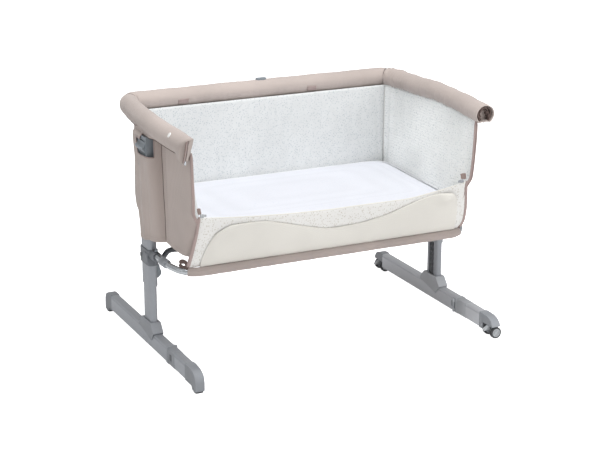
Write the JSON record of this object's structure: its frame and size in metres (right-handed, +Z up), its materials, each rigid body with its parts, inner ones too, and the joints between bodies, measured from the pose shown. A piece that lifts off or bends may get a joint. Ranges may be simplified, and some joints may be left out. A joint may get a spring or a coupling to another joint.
{
  "type": "bedside bassinet",
  "caption": "Open-sided bedside bassinet: a padded fabric tub with a bent top rail and a lowered front side, on two height-adjustable columns with folding feet.",
  "frame": {"origin": "on the floor, under the middle of the bed", "axes": "+X along the bed towards the foot with the wheels, -Y towards the open front side, +Z up"},
  "size_m": [0.93, 0.69, 0.658],
  "materials": {
    "aluminium": "satin silver-grey coating",
    "bright_tube": "bright drawn tube",
    "grey_plastic": "fine moulded texture",
    "dark_plastic": "fine moulded texture",
    "light_plastic": "smooth moulded",
    "rubber": "matt rubber",
    "taupe_fabric": "fine plain weave, padded",
    "lining_fabric": "white knit with a small dot print",
    "cream_fabric": "cream plain weave",
    "mattress_fabric": "white cover with faint dots",
    "board": "matt board"
  },
  "bodies": {
    "left_leg": {"left_foot_bar": "aluminium", "left_foot_rear_cap": "grey_plastic", "left_rear_foot_pad": "rubber", "left_knuckle": "grey_plastic", "left_column": "aluminium", "left_fold_hinge": "dark_plastic"},
    "left_front_foot": {"left_front_foot_bar": "aluminium", "left_foot_front_cap": "grey_plastic", "left_front_foot_pad": "rubber", "left_fold_socket": "grey_plastic"},
    "left_fold_button": {"left_fold_button": "dark_plastic"},
    "right_leg": {"right_foot_bar": "aluminium", "right_foot_rear_cap": "grey_plastic", "right_knuckle": "grey_plastic", "right_column": "aluminium", "right_fold_hinge": "dark_plastic"},
    "right_front_foot": {"right_front_foot_bar": "aluminium", "right_foot_front_cap": "grey_plastic", "right_fold_socket": "grey_plastic"},
    "right_fold_button": {"right_fold_button": "dark_plastic"},
    "rear_wheels": {"right_rear_wheel_core": "light_plastic", "right_rear_outer_tyre": "rubber", "right_rear_inner_tyre": "rubber"},
    "front_wheels": {"right_front_wheel_core": "light_plastic", "right_front_outer_tyre": "rubber", "right_front_inner_tyre": "rubber"},
    "rear_brake": {"right_rear_brake_pedal": "light_plastic"},
    "front_brake": {"right_front_brake_pedal": "light_plastic"},
    "left_height_lever": {"left_height_lever": "dark_plastic"},
    "right_height_lever": {"right_height_lever": "dark_plastic"},
    "left_height_latch": {"left_height_latch": "dark_plastic"},
    "right_height_latch": {"right_height_latch": "dark_plastic"},
    "left_arm_button": {"left_arm_button": "dark_plastic"},
    "right_arm_button": {"right_arm_button": "dark_plastic"},
    "rail_button": {"rail_coupler_button": "dark_plastic"},
    "bed": {"back_rail_cover": "taupe_fabric", "back_wall": "lining_fabric", "base_board": "board", "drop_side_tube": "bright_tube", "front_pocket": "cream_fabric", "front_side": "lining_fabric", "left_base_loop": "dark_plastic", "left_collar": "grey_plastic", "left_end_wall": "taupe_fabric", "left_lever_housing": "dark_plastic", "left_rail_bracket": "grey_plastic", "left_rail_cover": "taupe_fabric", "left_rail_tube": "aluminium", "left_sleeve": "aluminium", "mattress": "mattress_fabric", "rail_coupler": "dark_plastic", "right_base_loop": "dark_plastic", "right_collar": "grey_plastic", "right_end_wall": "taupe_fabric", "right_lever_housing": "dark_plastic", "right_rail_bracket": "grey_plastic", "right_rail_cover": "taupe_fabric", "right_rail_tube": "aluminium", "right_sleeve": "aluminium"}
  },
  "joints": [
    {"name": "bed_height", "type": "slide", "parent": "left_leg", "child": "bed", "axis": [0, 0, 1], "range_m": [0, 0.15]},
    {"name": "right_leg_height", "type": "slide", "parent": "bed", "child": "right_leg", "axis": [0, 0, -1], "range_m": [0, 0.15]},
    {"name": "left_foot_fold", "type": "hinge", "parent": "left_leg", "child": "left_front_foot", "pos_m": [-0.422, -0.14, 0.037], "axis": [0, 0, 1], "range_deg": [0, 90]},
    {"name": "right_foot_fold", "type": "hinge", "parent": "right_leg", "child": "right_front_foot", "pos_m": [0.422, -0.14, 0.037], "axis": [0, 0, -1], "range_deg": [0, 90]},
    {"name": "left_fold_button_press", "type": "slide", "parent": "left_front_foot", "child": "left_fold_button", "axis": [1, 0, 0], "range_m": [0, 0.003], "stiffness_N_per_m": 300, "springref_m": -0.001},
    {"name": "right_fold_button_press", "type": "slide", "parent": "right_front_foot", "child": "right_fold_button", "axis": [-1, 0, 0], "range_m": [0, 0.003], "stiffness_N_per_m": 300, "springref_m": -0.001},
    {"name": "rear_wheels_spin", "type": "hinge", "parent": "right_leg", "child": "rear_wheels", "pos_m": [0.44, 0.316, 0.016], "axis": [0, 1, 0], "continuous": true},
    {"name": "front_wheels_spin", "type": "hinge", "parent": "right_front_foot", "child": "front_wheels", "pos_m": [0.44, -0.316, 0.016], "axis": [0, 1, 0], "continuous": true},
    {"name": "rear_brake_press", "type": "hinge", "parent": "right_leg", "child": "rear_brake", "pos_m": [0.4295, 0.316, 0.0305], "axis": [0, -1, 0], "range_deg": [0, 12]},
    {"name": "front_brake_press", "type": "hinge", "parent": "right_front_foot", "child": "front_brake", "pos_m": [0.4295, -0.316, 0.0305], "axis": [0, -1, 0], "range_deg": [0, 12]},
    {"name": "left_lever_pull", "type": "hinge", "parent": "bed", "child": "left_height_lever", "pos_m": [-0.455, 0, 0.582], "axis": [0, 1, 0], "range_deg": [0, 15], "stiffness_Nm_per_rad": 0.4, "springref_deg": -8.59},
    {"name": "right_lever_pull", "type": "hinge", "parent": "bed", "child": "right_height_lever", "pos_m": [0.455, 0, 0.582], "axis": [0, -1, 0], "range_deg": [0, 15], "stiffness_Nm_per_rad": 0.4, "springref_deg": -8.59},
    {"name": "left_latch_release", "type": "hinge", "parent": "bed", "child": "left_height_latch", "pos_m": [-0.4217, 0, 0.2425], "axis": [0, -1, 0], "range_deg": [0, 10]},
    {"name": "right_latch_release", "type": "hinge", "parent": "bed", "child": "right_height_latch", "pos_m": [0.4217, 0, 0.2425], "axis": [0, 1, 0], "range_deg": [0, 10]},
    {"name": "left_arm_button_press", "type": "slide", "parent": "bed", "child": "left_arm_button", "axis": [0, 0, -1], "range_m": [0, 0.0025], "stiffness_N_per_m": 300, "springref_m": -0.001},
    {"name": "right_arm_button_press", "type": "slide", "parent": "bed", "child": "right_arm_button", "axis": [0, 0, -1], "range_m": [0, 0.0025], "stiffness_N_per_m": 300, "springref_m": -0.001},
    {"name": "rail_button_press", "type": "slide", "parent": "bed", "child": "rail_button", "axis": [0, 0, -1], "range_m": [0, 0.0025], "stiffness_N_per_m": 300, "springref_m": -0.001}
  ],
  "couplings": [
    {"joint": "right_leg_height", "follows": "bed_height", "ratio": 1},
    {"joint": "left_latch_release", "follows": "left_lever_pull", "ratio": 0.66},
    {"joint": "right_latch_release", "follows": "right_lever_pull", "ratio": 0.66}
  ]
}
